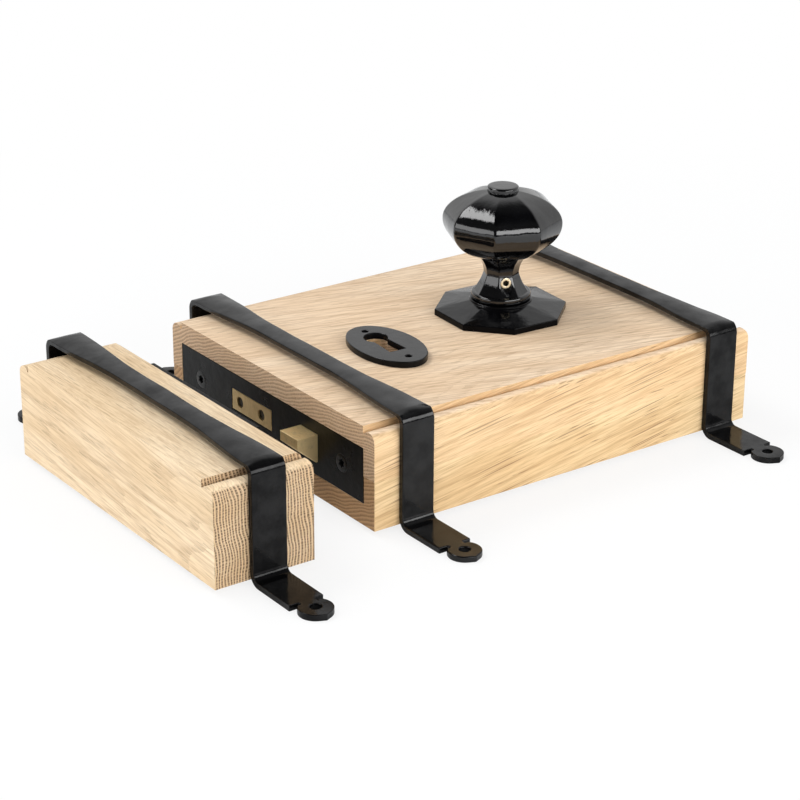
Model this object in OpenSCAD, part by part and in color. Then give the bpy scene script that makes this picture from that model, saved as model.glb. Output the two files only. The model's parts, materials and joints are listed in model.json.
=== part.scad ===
// Rim box lock: a sash lock in an oak box that iron straps hold to a door, with its keep.
// Lengths are in millimetres. +X runs from the keep along the box, +Y up the door, +Z out of the door.
// The origin is on the door's surface, midway between the four strap screws of the lock.

/* [Oak box] */
// Length of the lock box along the door
box_l = 207; // [200:1:230]
// Height of the lock box and of the keep, up the door
box_w = 160; // [154:1:180]
// How far the lock box and the keep stand out from the door
box_h = 45; // [42:1:55]
// Width of the bead along each long edge
bead_w = 7.4; // [7.2:0.1:8.5]
// How far the bead lies below the raised field
bead_drop = 1.6; // [1:0.1:2.2]
// Width of the groove between the bead and the field
groove_w = 0.8; // [0.4:0.1:2]
// Depth of that groove below the field
groove_d = 3.4; // [2.8:0.1:5]
// Radius of the bead's round, on both its sides
bead_r = 4; // [3:0.1:4]
// Radius on the end edges of the oak: the far end of the box and the keep's striking edge
edge_r = 4; // [3:0.5:4.5]

/* [Straps] */
// Width of a strap at its legs and bends
strap_w = 16.1; // [15:0.1:18]
// Width of a strap's waist, in the middle of the box
strap_waist_w = 10.2; // [8:0.1:14]
// Length over which a strap narrows from its bend to its waist
strap_taper_l = 52; // [30:1:65]
// Thickness of a strap
strap_t = 2.8; // [2:0.1:3.5]
// Inner radius of a strap's bends
strap_bend_r = 3; // [2:0.5:4]
// Gap between the oak's face and the loose strap over it
strap_rise = 3; // [0:0.1:4]
// Gap between the oak's upper side and the loose strap's leg
strap_slack = 3; // [0:0.1:4]
// Middle of the front strap, from the faceplate end of the box
front_strap_x = 20.4; // [18:0.1:28]
// Middle of the rear strap, from the far end of the box
rear_strap_inset = 17.9; // [13:0.1:24]
// Middle of the keep's strap, from the keep's striking face
keep_strap_inset = 22.8; // [18:0.1:28]
// How far the feet stand below the back of the oak
foot_drop = 2.2; // [0:0.1:3]
// From the side of the oak to the square shoulders of a foot
foot_shoulder = 28.2; // [24:0.1:32]
// From the shoulders to a foot's screw hole
foot_screw_out = 6.6; // [6:0.1:9]
// Diameter of a foot's round end
foot_head_d = 14.6; // [13:0.2:15]
// Width of the slots between the shoulders and the round end
foot_slot_w = 2; // [1.5:0.1:3]
// How far the round end runs out to a blunt point
foot_point = 0.7; // [0.2:0.1:1.5]
// Width of the neck between the slots
foot_neck_w = 7; // [5:0.5:8]
// Diameter of a foot's screw hole
foot_hole_d = 4.8; // [4:0.1:6]

/* [Sash lock] */
// Length of the faceplate
plate_len = 144; // [132:1:150]
// Width of the faceplate
plate_w = 25; // [22:0.5:28]
// Thickness of the faceplate
plate_t = 3.2; // [2.5:0.1:4]
// Distance between the faceplate's two screws
plate_screw_span = 112; // [100:1:118]
// Height of the steel case up the door
case_h = 80; // [79:0.5:86]
// Thickness of the steel case
case_t = 16.2; // [15.8:0.1:18]
// Thickness of the case's sheet steel
sheet_t = 1.5; // [1.2:0.1:1.7]
// From the faceplate to the axis of the key
key_backset = 57; // [54:0.5:59]
// From the faceplate to the axis of the knob
knob_backset = 127; // [125:0.5:140]

/* [Bolts] */
// Height of the latch bolt
latch_h = 13.4; // [12:0.1:14]
// How far the latch bolt stands out
latch_throw = 10; // [8:0.5:10]
// Height of the deadbolt
bolt_h = 31.7; // [28:0.1:33]
// Thickness of the deadbolt
bolt_t = 9.5; // [8:0.1:10]
// How far the key throws the deadbolt
bolt_throw = 14; // [11:0.5:15]
// Middle of the deadbolt above the axis of the key
bolt_rise = 13.5; // [12.5:0.1:14]
// Diameter of the hard steel pins in the deadbolt
bolt_pin_d = 4.9; // [4:0.1:5.5]
// Distance between the two pins
bolt_pin_span = 17.3; // [14:0.1:20]

/* [Levers] */
// Number of levers over the deadbolt's tail
lever_count = 5; // [3:1:5]
// Thickness of a lever
lever_t = 1.6; // [1.2:0.05:1.65]
// How far a lever drops from the height to which the key lifts it, in degrees
lever_drop = 4; // [3:0.1:4.5]

/* [Knob] */
// Side of the square spindle
spindle_w = 8; // [7:0.1:8.4]
// Width of the knob's head across its corners
knob_d = 55.2; // [50:0.2:60]
// Height of the head above its widest line
head_up = 14.7; // [12:0.1:18]
// Height of the head below its widest line
head_down = 17.5; // [14:0.1:20]
// Widest line of the head, from the foot of the knob
head_z = 36.5; // [35:0.1:42]
// Width of the waist across its corners
waist_d = 16.4; // [15.5:0.1:19]
// Height of the waist, from the foot of the knob
waist_z = 12; // [11:0.1:14.5]
// Width of the flared foot across its corners
flare_d = 25.8; // [24:0.1:28]
// Diameter of the button on top
button_d = 14.4; // [12:0.1:17]
// Height of the button's side
button_h = 2.4; // [1.5:0.1:3.5]
// Width of the rose across its corners
rose_d = 61.6; // [56:0.2:66]
// Height of the rose's upright rim
rose_rim_h = 3; // [2:0.1:4]
// Height of the rose
rose_h = 7.2; // [6:0.1:9]
// Turn of the loose rose about the knob's axis, in degrees
rose_turn = 19; // [0:1:44]

/* [Escutcheon] */
// Width of the oval escutcheon
scutcheon_w = 29.6; // [26:0.2:32]
// Height of the oval escutcheon
scutcheon_h = 48.6; // [47.5:0.1:56]
// Thickness of the escutcheon
scutcheon_t = 3; // [2:0.1:4]
// Middle of the oval below the axis of the key
scutcheon_drop = 8.8; // [8:0.1:9.5]
// Distance between the escutcheon's two screw holes
scutcheon_span = 35; // [34:0.2:40]
// Turn of the loose escutcheon about the key's axis, in degrees
scutcheon_turn = -2.2; // [-3:0.1:3]
// Radius of the keyhole's round part
keyhole_r = 5.4; // [4.5:0.1:6]
// From the axis of the key to the foot of the keyhole
keyhole_drop = 18; // [15:0.5:19]

/* [Keep] */
// Length of the keep along the door
keep_l = 47; // [42:0.5:60]
// Gap between the lock and the loose keep, as the two lie side by side
keep_gap = 34; // [20:0.5:60]
// How far the loose keep lies below its line
keep_drop = 6.4; // [0:0.1:8]
// Gap between the lock and the fitted keep
keep_fit_gap = 3; // [2:0.5:5]
// Thickness of the strike plate
strike_t = 2; // [1.5:0.1:3]
// Length of the strike plate's lip
lip_len = 85; // [84:1:100]
// Depth of the pockets for the bolts
pocket_d = 18; // [16:0.5:24]

/* [Fits] */
// Radial clearance of a turning fit
turn_gap = 0.05; // [0.02:0.01:0.08]
// Clearance on each side of a sliding bolt
slide_gap = 0.2; // [0.1:0.05:0.25]
// Clearance of the case in the oak, on each side
case_gap = 0.4; // [0.2:0.1:0.8]
// Clearance of the faceplate and the strike plate in the oak, on each side
plate_gap = 0.12; // [0.05:0.01:0.2]

/* [Hidden] */
$fn = 64;
over = 1;

// Lines that the whole lock shares
axis_y = box_w / 2;
mid_z = box_h / 2;
rear_strap_x = box_l - rear_strap_inset;
strap_span = box_w + strap_slack;
strap_under = box_h + strap_rise;
strap_r = strap_bend_r + strap_t;
taper_steps = 8;
foot_screw_y = foot_shoulder + foot_screw_out;
origin_x = (front_strap_x + rear_strap_x) / 2;
origin_y = strap_span / 2;

// Steel case: inner faces
case_behind_knob = 25;
case_l = knob_backset + case_behind_knob;
case_y = axis_y - case_h / 2;
case_z = mid_z - case_t / 2;
floor_z = case_z + sheet_t;
cover_z = case_z + case_t - sheet_t;
inner_t = case_t - 2 * sheet_t;

// Latch: head, round stem, flat yoke
latch_side_gap = 0.3;
latch_t = inner_t - 2 * latch_side_gap;
latch_floor_gap = 0.4;
latch_y = case_y + sheet_t + latch_floor_gap + latch_h / 2;
latch_back = 16;
latch_nose = 4.4;
stem_r = 2.5;
stem_in = 8;
lug_x = 50;
lug_t = 2;
yoke_x = lug_x + lug_t + latch_throw + 2;
yoke_h = 6;
yoke_t = 3;
spring_wire = 0.9;
spring_r = 4.1;
spring_turns = 9;

// Follower: hub, journals and two horns that draw the latch
hub_r = 8.5;
journal_r = 7;
horn_w = 4.4;
horn_t = 5;
horn_r = 16.4;
horn_lead = 0.6;
hub_gap = 0.6;
yoke_pad_x = knob_backset + horn_w / 2 + horn_lead;
yoke_relief_x = knob_backset + hub_r + hub_gap;
yoke_rib_w = 3.5;
yoke_over = 1.6;
yoke_end_x = yoke_relief_x + yoke_rib_w;
yoke_top_y = axis_y + horn_r + yoke_over;
relief_h = hub_r + 2.3;
square_gap = 0.1;

// Deadbolt: head, thin tail, stump that runs in the levers' gates, talon for the key
tail_gap = 0.2;
tail_t = 3;
tail_z = floor_z + tail_gap;
tail_low = 8;
tail_high = 26;
tail_low_y = axis_y + tail_low;
tail_top_y = axis_y + tail_high;
stump_w = 4;
stump_x = key_backset - 4;
stump_y = axis_y + 19.5;
talon_d = 5;
post_r = 3;
post_behind_key = 38;
post_rise = 20.5;
post_x = key_backset + post_behind_key;
post_y = axis_y + post_rise;
tail_end_x = post_x + post_r + turn_gap + bolt_throw + 4;
bolt_y = axis_y + bolt_rise;

// Levers: one body with a gated window, at the height to which the key lifts them
lever_gap = 0.15;
gate_gap = 0.3;
gate_end = 0.6;
pocket_side = 1.2;
lever_front_x = stump_x - bolt_throw - stump_w / 2 - gate_end - 2.4;
lever_low = 10;
lever_rim = 4.1;
lever_arm_w = 12;
lever_nose = 5;
lever_low_y = axis_y + lever_low;
pocket_top_y = stump_y + stump_w / 2 + (post_x - stump_x + bolt_throw) * sin(lever_drop) + 0.5;
lever_top_y = pocket_top_y + lever_rim;
lever_heel_r = 7;
lever_pitch = lever_t + lever_gap;
lever_z = tail_z + tail_t + lever_gap;
bolt_back = lever_front_x - 4;
strip_t = 0.5;
strip_w = 1.2;
strip_r = 45;

// Screws
screw_r = 2.1;
screw_head_r = 4.2;
screw_len = 25;
recess_r = 1.7;
recess_d = 1.6;
cover_screw_r = 1.5;
cover_head_r = 2.7;
boss_r = 3.2;
rivet_gap = 0.02;
cover_screw_at = [
    [plate_t + sheet_t + boss_r + 1.6, axis_y - 14],
    [plate_t + sheet_t + boss_r + 1.6, case_y + case_h - sheet_t - boss_r - 0.9],
    [knob_backset - 15, latch_y + yoke_h / 2 + boss_r + 2.7],
    [case_l - sheet_t - boss_r - 0.9, case_y + case_h - sheet_t - boss_r - 0.9]
];

// Knob and rose
seat_gap = 0.3;
rose_hole_r = 6.8;
board_hole_r = 8;
foot_z = box_h + rose_h + seat_gap;
ring_h = 3.2;
ring_r = 13.7;
collar_r = 14.3;
collar_h = 0.7;
neck_top_r = 12;
socket_d = 20;
grub_r = 2.5;
grub_z = 9;
grub_turn = 247.5;
grub_out = 8.3;

// Escutcheon
keyhole_top_w = 6.4;
keyhole_low_w = 8;
scutcheon_hole_r = 1.5;

// Keep: pockets and plate openings let the bolts in while the loose keep closes up on the slant
lip_shift = 2;
lip_top_gap = 0.6;
closing = keep_gap - keep_fit_gap;
latch_slip = keep_drop * (latch_throw - keep_fit_gap) / closing;
bolt_slip = keep_drop * (bolt_throw - keep_fit_gap) / closing;
strike_gap = 0.6;

// Corner radii of squares written once
function corner(r) = r * cos(22.5);

// Points of half an ellipse-like head, as distances of the flats from the axis
function head_r(z) = knob_d / 2 * sqrt(max(0, 1 - pow(z > 0 ? z / head_up : z / head_down, 2)));
neck_join_z = head_z - head_down * sqrt(1 - pow(neck_top_r / (knob_d / 2), 2));
head_top = head_up * sqrt(1 - pow(button_d / knob_d, 2));
flare_sink = 0.3;
flare_steps = 7;
neck_steps = 6;
head_steps = 18;
function flare_f(t) = 0.5 * t + 0.5 * t * t;
knob_side = concat(
    [for (i = [0 : flare_steps]) let (t = 1 - i / flare_steps)
        [corner(waist_d / 2 + (flare_d - waist_d) / 2 * flare_f(t)),
            waist_z - (waist_z - ring_h + flare_sink) * t]],
    [for (i = [1 : neck_steps]) let (t = i / neck_steps)
        [corner(waist_d / 2 + (neck_top_r - waist_d / 2) * t * t), waist_z + (neck_join_z - waist_z) * t]],
    [for (i = [1 : head_steps]) let (a = asin(neck_join_z / head_down - head_z / head_down),
        b = asin(head_top / head_up), t = a + (b - a) * i / head_steps,
        z = t > 0 ? head_up * sin(t) : head_down * sin(t))
        [corner(head_r(z)), head_z + z]]
);
knob_outline = concat(knob_side, [for (i = [len(knob_side) - 1 : -1 : 0]) [-knob_side[i][0], knob_side[i][1]]]);

// Puts the lock's own corner, on the faceplate end, where the shared origin wants it
module on_lock() {
    translate([-origin_x, -origin_y, foot_drop]) children();
}

// Puts the keep's striking face beside the lock, loose and a little low
module on_keep() {
    translate([-origin_x - keep_gap, -origin_y - keep_drop, foot_drop]) children();
}

// Extrudes a drawing of the Y-Z plane along +X
module along_x(l) {
    rotate([90, 0, 90]) linear_extrude(l) children();
}

// Extrudes a drawing of the X-Z plane along +Y
module along_y(l) {
    translate([0, l, 0]) rotate([90, 0, 0]) linear_extrude(l) children();
}

// What a round edge takes off the corner of a drawing that lies at +x and -y of the origin
module round_corner(r) {
    difference() {
        translate([-over, -r]) square([r + over, r + over]);
        translate([r, -r]) circle(r);
    }
}

// How far the bead's round reaches inwards from its middle, down at the groove
function bead_in() = sqrt(pow(bead_r, 2) - pow(bead_r - groove_d + bead_drop, 2));

// Section of the moulded oak: raised field, a groove and a low round bead at each side
module moulded_section(low_z) {
    difference() {
        translate([0, low_z]) square([box_w, box_h - low_z]);
        for (side = [0, 1])
            translate([side * box_w, box_h]) mirror([side, 0]) {
                translate([-over, -bead_drop]) square([bead_w + groove_w + over, bead_drop + over]);
                difference() {
                    translate([bead_w - bead_in(), -groove_d]) square([bead_in() + groove_w, groove_d]);
                    translate([bead_w - bead_in(), -bead_drop - bead_r]) circle(bead_r);
                }
                translate([0, -bead_drop]) round_corner(bead_r);
            }
    }
}

// Keyhole: a round part with a slot that widens downwards, about the axis of the key
module keyhole_2d() {
    circle(keyhole_r);
    polygon([
        [-keyhole_top_w / 2, 0], [-keyhole_low_w / 2, -keyhole_drop],
        [keyhole_low_w / 2, -keyhole_drop], [keyhole_top_w / 2, 0]
    ]);
}

// Countersunk screw that points along -z, with a six-sided recess in its head
module sunk_screw(r, head_r, len, recess) {
    difference() {
        union() {
            cylinder(h = len - (head_r - r), r = r);
            translate([0, 0, len - (head_r - r)]) cylinder(h = head_r - r, r1 = r, r2 = head_r);
        }
        translate([0, 0, len - recess])
            cylinder(h = recess + over, r = recess_r * head_r / screw_head_r, $fn = 6);
    }
}

// The hole that such a screw needs
module screw_seat(r, head_r, len) {
    translate([0, 0, -rivet_gap]) cylinder(h = len + over, r = r + rivet_gap);
    translate([0, 0, len - (head_r - r)])
        cylinder(h = head_r - r + rivet_gap, r1 = r + rivet_gap, r2 = head_r + 2 * rivet_gap);
    translate([0, 0, len]) cylinder(h = over, r = head_r + 2 * rivet_gap);
}

// Places two things at the faceplate's screws, pointing out of the face at x
module at_plate_screws(x) {
    for (side = [-1, 1])
        translate([x, axis_y + side * plate_screw_span / 2, mid_z]) children();
}

// Room in the oak for the faceplate, its screws and the case
module lock_room() {
    translate([-over, axis_y - plate_len / 2 - plate_gap, mid_z - plate_w / 2 - plate_gap])
        cube([plate_t + over, plate_len + 2 * plate_gap, plate_w + 2 * plate_gap]);
    translate([0, case_y - case_gap, case_z - case_gap])
        cube([case_l + case_gap, case_h + 2 * case_gap, case_t + 2 * case_gap]);
    at_plate_screws(screw_len) rotate([0, -90, 0]) screw_seat(screw_r, screw_head_r, screw_len);
}

// Way for the key and for the spindle, right through the box
module key_and_spindle_way() {
    translate([key_backset, axis_y, -over]) linear_extrude(box_h + 2 * over) keyhole_2d();
    translate([knob_backset, axis_y, -over]) cylinder(h = box_h + 2 * over, r = board_hole_r);
}

module back_board() {
    color("#c9a26b") on_lock() difference() {
        cube([box_l, box_w, mid_z]);
        lock_room();
        key_and_spindle_way();
    }
}

module front_board() {
    color("#d8b98c") on_lock() difference() {
        along_x(box_l) moulded_section(mid_z);
        lock_room();
        key_and_spindle_way();
        translate([box_l, -over, box_h]) mirror([1, 0, 0]) along_y(box_w + 2 * over) round_corner(edge_r);
    }
}

// Section of a strap across its span: two legs, the top, four bends, and feet up to their shoulders
module strap_section() {
    leg_low = strap_r - foot_drop;
    difference() {
        translate([-strap_t, leg_low]) square([strap_span + 2 * strap_t, strap_under + strap_t - leg_low]);
        difference() {
            translate([0, leg_low - over]) square([strap_span, strap_under + over - leg_low]);
            for (side = [0, 1])
                translate([side * strap_span, strap_under]) mirror([side, 0]) round_corner(strap_bend_r);
        }
        for (side = [0, 1])
            translate([side * strap_span, strap_under + strap_t]) mirror([side, 0])
                translate([-strap_t, 0]) round_corner(strap_r);
    }
    for (side = [0, 1])
        translate([side * strap_span, -foot_drop]) mirror([side, 0]) strap_foot_section();
}

// Half of the strap's width at the part t of its taper
function taper_w(t) = strap_waist_w / 2 + (strap_w - strap_waist_w) / 4 * (1 + cos(180 * t));

// Plan of a strap: full width at the bends, a waist in the middle
module strap_plan_2d() {
    side = [for (i = [0 : taper_steps])
        [taper_w(i / taper_steps), strap_bend_r + strap_taper_l * i / taper_steps]];
    half = concat(
        [[strap_w / 2, -foot_screw_y]], side,
        [for (i = [taper_steps : -1 : 0]) [side[i][0], strap_span - side[i][1]]],
        [[strap_w / 2, strap_span + foot_screw_y]]
    );
    polygon(concat(half, [for (i = [len(half) - 1 : -1 : 0]) [-half[i][0], half[i][1]]]));
}

// Foot in section: it runs out along the door from a bend at the bottom of the leg
module strap_foot_section() {
    difference() {
        union() {
            translate([-foot_shoulder, 0]) square([foot_shoulder, strap_t]);
            translate([-strap_r, 0]) square([strap_r, strap_r]);
        }
        translate([-strap_r, strap_r]) circle(strap_bend_r);
        mirror([1, 0]) mirror([0, 1]) round_corner(strap_r);
    }
}

// Plan of a foot beyond its shoulders, pointing along -y from the side of the oak
module foot_head_2d() {
    r = foot_head_d / 2;
    tip = r + foot_point;
    a = acos(r / tip);
    slot_x = (foot_neck_w + foot_slot_w) / 2;
    slot_y = -foot_shoulder - foot_slot_w;
    difference() {
        translate([0, -foot_screw_y]) {
            circle(r);
            polygon([[0, -tip], [r * sin(a), -r * cos(a)], [0, 0], [-r * sin(a), -r * cos(a)]]);
            translate([-slot_x, 0]) square([2 * slot_x, foot_screw_out + over]);
        }
        for (side = [0, 1])
            mirror([side, 0]) {
                translate([slot_x, slot_y]) square([strap_w, foot_slot_w]);
                translate([slot_x, slot_y + foot_slot_w / 2]) circle(d = foot_slot_w);
            }
    }
}

// Both feet of a strap, about its middle
module at_feet() {
    for (side = [0, 1])
        translate([0, side * strap_span, -foot_drop]) mirror([0, side, 0]) children();
}

module strap(x) {
    color("#26262a") translate([x, 0, 0]) difference() {
        union() {
            intersection() {
                translate([-strap_w / 2, 0, 0]) along_x(strap_w) strap_section();
                translate([0, 0, -foot_drop - over])
                    linear_extrude(strap_under + foot_drop + strap_t + 2 * over) strap_plan_2d();
            }
            at_feet() linear_extrude(strap_t) foot_head_2d();
        }
        at_feet() translate([0, -foot_screw_y, -over]) cylinder(h = strap_t + 2 * over, d = foot_hole_d);
    }
}

module front_strap() {
    on_lock() strap(front_strap_x);
}

module rear_strap() {
    on_lock() strap(rear_strap_x);
}

// Openings for the two bolts through a plate of thickness t that starts at x
module bolt_openings(x, t) {
    translate([x - over, bolt_y - bolt_h / 2 - slide_gap, mid_z - bolt_t / 2 - slide_gap])
        cube([t + 2 * over, bolt_h + 2 * slide_gap, bolt_t + 2 * slide_gap]);
    translate([x - over, latch_y - latch_h / 2 - slide_gap, mid_z - latch_t / 2 - slide_gap])
        cube([t + 2 * over, latch_h + 2 * slide_gap, latch_t + 2 * slide_gap]);
}

module faceplate() {
    color("#1d1d1f") on_lock() difference() {
        translate([0, axis_y - plate_len / 2, mid_z - plate_w / 2]) cube([plate_t, plate_len, plate_w]);
        bolt_openings(0, plate_t);
        at_plate_screws(screw_len) rotate([0, -90, 0]) screw_seat(screw_r, screw_head_r, screw_len);
    }
}

module faceplate_screws() {
    color("#101012") on_lock()
        at_plate_screws(screw_len) rotate([0, -90, 0])
            sunk_screw(screw_r, screw_head_r, screw_len, recess_d);
}

// Steel tray: floor, four walls, bosses for the cover's screws and the lug that the latch spring pushes on
module lock_case() {
    color("#8b8f94") on_lock() difference() {
        union() {
            difference() {
                translate([plate_t, case_y, case_z]) cube([case_l - plate_t, case_h, case_t - sheet_t]);
                translate([plate_t + sheet_t, case_y + sheet_t, floor_z])
                    cube([case_l - plate_t - 2 * sheet_t, case_h - 2 * sheet_t, case_t]);
            }
            for (p = cover_screw_at)
                translate([p[0], p[1], case_z]) cylinder(h = case_t - sheet_t, r = boss_r);
            translate([lug_x, case_y + sheet_t / 2, floor_z - sheet_t / 2])
                cube([lug_t, latch_y - case_y + spring_r + 1, inner_t + sheet_t / 2]);
        }
        bolt_openings(plate_t, sheet_t);
        translate([lug_x - over, latch_y, mid_z]) rotate([0, 90, 0])
            cylinder(h = lug_t + 2 * over, r = stem_r + turn_gap);
        translate([key_backset, axis_y, case_z - over]) linear_extrude(sheet_t + 2 * over) keyhole_2d();
        translate([knob_backset, axis_y, case_z - over])
            cylinder(h = sheet_t + 2 * over, r = journal_r + turn_gap);
        translate([post_x, post_y, case_z - over])
            cylinder(h = sheet_t + 2 * over, r = post_r - 1 + rivet_gap);
        for (p = cover_screw_at)
            translate([p[0], p[1], floor_z]) cylinder(h = case_t, r = cover_screw_r + rivet_gap);
    }
}

module case_cover() {
    color("#9a9ea3") on_lock() difference() {
        translate([plate_t, case_y, cover_z]) cube([case_l - plate_t, case_h, sheet_t]);
        translate([key_backset, axis_y, cover_z - over]) linear_extrude(sheet_t + 2 * over) keyhole_2d();
        translate([knob_backset, axis_y, cover_z - over])
            cylinder(h = sheet_t + 2 * over, r = journal_r + turn_gap);
        for (p = cover_screw_at)
            translate([p[0], p[1], cover_z + sheet_t - inner_t])
                screw_seat(cover_screw_r, cover_head_r, inner_t);
    }
}

module cover_screws() {
    color("#6e7175") on_lock()
        for (p = cover_screw_at)
            translate([p[0], p[1], cover_z + sheet_t - inner_t])
                sunk_screw(cover_screw_r, cover_head_r, inner_t, 1);
}

// Pin on which the levers turn and the deadbolt's tail slides, riveted through the floor
module lever_post() {
    color("#777b80") on_lock() translate([post_x, post_y, 0]) {
        translate([0, 0, floor_z]) cylinder(h = inner_t, r = post_r);
        translate([0, 0, case_z]) cylinder(h = sheet_t, r = post_r - 1);
    }
}

// Outline of a lever with its window: a gate for the stump between two pockets
module lever_2d() {
    gate_low = stump_y - stump_w / 2 - gate_gap;
    gate_high = stump_y + stump_w / 2 + gate_gap;
    left = stump_x - bolt_throw - stump_w / 2 - gate_end;
    right = stump_x + stump_w / 2 + gate_end;
    bar_left = stump_x - bolt_throw + stump_w / 2 + pocket_side;
    bar_right = stump_x - stump_w / 2 - pocket_side;
    difference() {
        union() {
            translate([lever_front_x, lever_low_y])
                square([key_backset + lever_nose - lever_front_x, lever_top_y - lever_low_y]);
            translate([key_backset, post_y - lever_arm_w / 2]) square([post_x - key_backset, lever_arm_w]);
            translate([post_x, post_y]) circle(lever_heel_r);
        }
        translate([left, gate_low]) square([right - left, gate_high - gate_low]);
        translate([left, gate_low]) square([bar_left - left, pocket_top_y - gate_low]);
        translate([bar_right, gate_low]) square([right - bar_right, pocket_top_y - gate_low]);
        translate([post_x, post_y]) circle(post_r + turn_gap);
        translate([post_x - strip_root, post_y + lever_heel_r - strip_t - 0.5])
            square([strip_root + lever_heel_r, strip_t + 1]);
    }
}
strip_root = 5;

module lever(i) {
    if (i < lever_count)
        color([0.80 - 0.04 * (i % 2), 0.66 - 0.04 * (i % 2), 0.32]) on_lock()
            translate([0, 0, lever_z + i * lever_pitch]) linear_extrude(lever_t) lever_2d();
}

module lever_1() { lever(0); }
module lever_2() { lever(1); }
module lever_3() { lever(2); }
module lever_4() { lever(3); }
module lever_5() { lever(4); }

// Steel strips that push the levers down: each lies on a lever's heel and curves up to the case wall
module lever_springs() {
    wall_y = case_y + case_h - sheet_t - 0.3;
    strip_y = post_y + lever_heel_r - strip_t - 0.5;
    rise = wall_y - strip_y;
    reach = sqrt(2 * strip_r * rise - rise * rise);
    color("#b9bcc0") on_lock()
        for (i = [0 : lever_count - 1])
            translate([0, 0, lever_z + i * lever_pitch + (lever_t - strip_w) / 2]) linear_extrude(strip_w) {
                translate([post_x - strip_root, strip_y]) square([strip_root + 3, strip_t]);
                intersection() {
                    translate([post_x - strip_root, strip_y + strip_r]) difference() {
                        circle(strip_r);
                        circle(strip_r - strip_t);
                    }
                    translate([post_x - strip_root - reach, strip_y]) square([reach, rise]);
                }
            }
}

// Brass head with two bores for the pins, and the thin tail behind it
module deadbolt() {
    color("#b08d3e") on_lock() difference() {
        union() {
            translate([0, bolt_y - bolt_h / 2, mid_z - bolt_t / 2]) cube([bolt_back, bolt_h, bolt_t]);
            translate([bolt_back - 3, tail_low_y, tail_z]) linear_extrude(tail_t) difference() {
                square([tail_end_x - bolt_back + 3, tail_top_y - tail_low_y]);
                translate([key_backset - bolt_back + 3, -over]) square([bolt_throw, talon_d + over]);
                translate([post_x - bolt_back + 3, post_y - tail_low_y]) {
                    circle(post_r + turn_gap);
                    translate([bolt_throw, 0]) circle(post_r + turn_gap);
                    translate([0, -post_r - turn_gap]) square([bolt_throw, 2 * (post_r + turn_gap)]);
                }
            }
            translate([stump_x - stump_w / 2, stump_y - stump_w / 2, tail_z])
                cube([stump_w, stump_w, cover_z - 0.5 - tail_z]);
        }
        at_bolt_pins() translate([-over, 0, 0]) rotate([0, 90, 0])
            cylinder(h = pin_len + 2 * over, d = bolt_pin_d + 2 * turn_gap);
    }
}

pin_len = bolt_back - 6;
pin_inset = 0.8;

module at_bolt_pins() {
    for (side = [-1, 1])
        translate([0, bolt_y + side * bolt_pin_span / 2 + 0.9, mid_z]) children();
}

// Hard steel pins that turn loosely in the deadbolt, so a saw can't bite
module deadbolt_pins() {
    color("#a3a7ab") on_lock()
        at_bolt_pins() translate([pin_inset, 0, 0]) rotate([0, 90, 0])
            cylinder(h = pin_len, d = bolt_pin_d);
}

// Brass latch bolt, beveled on the side that meets the keep first when the door shuts
module latch_bolt() {
    half = latch_t / 2;
    color("#b8963f") on_lock() difference() {
        translate([0, latch_y - latch_h / 2, mid_z]) along_y(latch_h) polygon([
            [-latch_throw, half], [-latch_throw, half - latch_nose], [-0.6, -half],
            [latch_back, -half], [latch_back, half]
        ]);
        translate([latch_back - stem_in, latch_y, mid_z]) rotate([0, 90, 0])
            cylinder(h = stem_in + over, r = stem_r + rivet_gap);
    }
}

// Round stem and flat yoke: the yoke rises behind the follower and has a pad for each horn
module latch_tail() {
    color("#85898e") on_lock() {
        translate([latch_back - stem_in + rivet_gap, latch_y, mid_z]) rotate([0, 90, 0])
            cylinder(h = yoke_x - latch_back + stem_in + 2, r = stem_r);
        translate([0, 0, mid_z - yoke_t / 2]) linear_extrude(yoke_t) polygon([
            [yoke_x, latch_y - yoke_h / 2], [yoke_end_x, latch_y - yoke_h / 2],
            [yoke_end_x, yoke_top_y], [yoke_pad_x, yoke_top_y],
            [yoke_pad_x, axis_y + relief_h], [yoke_relief_x, axis_y + relief_h],
            [yoke_relief_x, axis_y - relief_h], [yoke_pad_x, axis_y - relief_h],
            [yoke_pad_x, latch_y + yoke_h / 2], [yoke_x, latch_y + yoke_h / 2]
        ]);
    }
}

// Points of one ring of the coil at angle a along it
coil_sides = 6;
coil_rings = 10;
coil_from = latch_back + 0.15 + spring_wire / 2;
coil_to = lug_x - 0.15 - spring_wire / 2;
coil_n = spring_turns * coil_rings;
function coil_point(k, s) = let (
    a = 360 * k / coil_rings,
    x = coil_from + (coil_to - coil_from) * k / coil_n,
    b = 360 * s / coil_sides,
    r = spring_r + spring_wire / 2 * cos(b)
) [x + spring_wire / 2 * sin(b), r * cos(a), r * sin(a)];

// Coil spring round the stem, between the latch bolt and the lug
module latch_spring() {
    points = [for (k = [0 : coil_n], s = [0 : coil_sides - 1]) coil_point(k, s)];
    sides = [for (k = [0 : coil_n - 1], s = [0 : coil_sides - 1])
        let (p = k * coil_sides + s, q = k * coil_sides + (s + 1) % coil_sides)
        each [[p, q, q + coil_sides], [p, q + coil_sides, p + coil_sides]]];
    first = [for (s = [1 : coil_sides - 2]) [0, s + 1, s]];
    last_0 = coil_n * coil_sides;
    last = [for (s = [1 : coil_sides - 2]) [last_0, last_0 + s, last_0 + s + 1]];
    color("#b4b8bc") on_lock() translate([0, latch_y, mid_z])
        polyhedron(points, concat(sides, first, last));
}

// Square prism for the spindle or its socket, with a flat side towards the grub screw
module square_bar(w, h) {
    rotate([0, 0, grub_turn]) translate([-w / 2, -w / 2, 0]) cube([w, w, h]);
}

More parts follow.
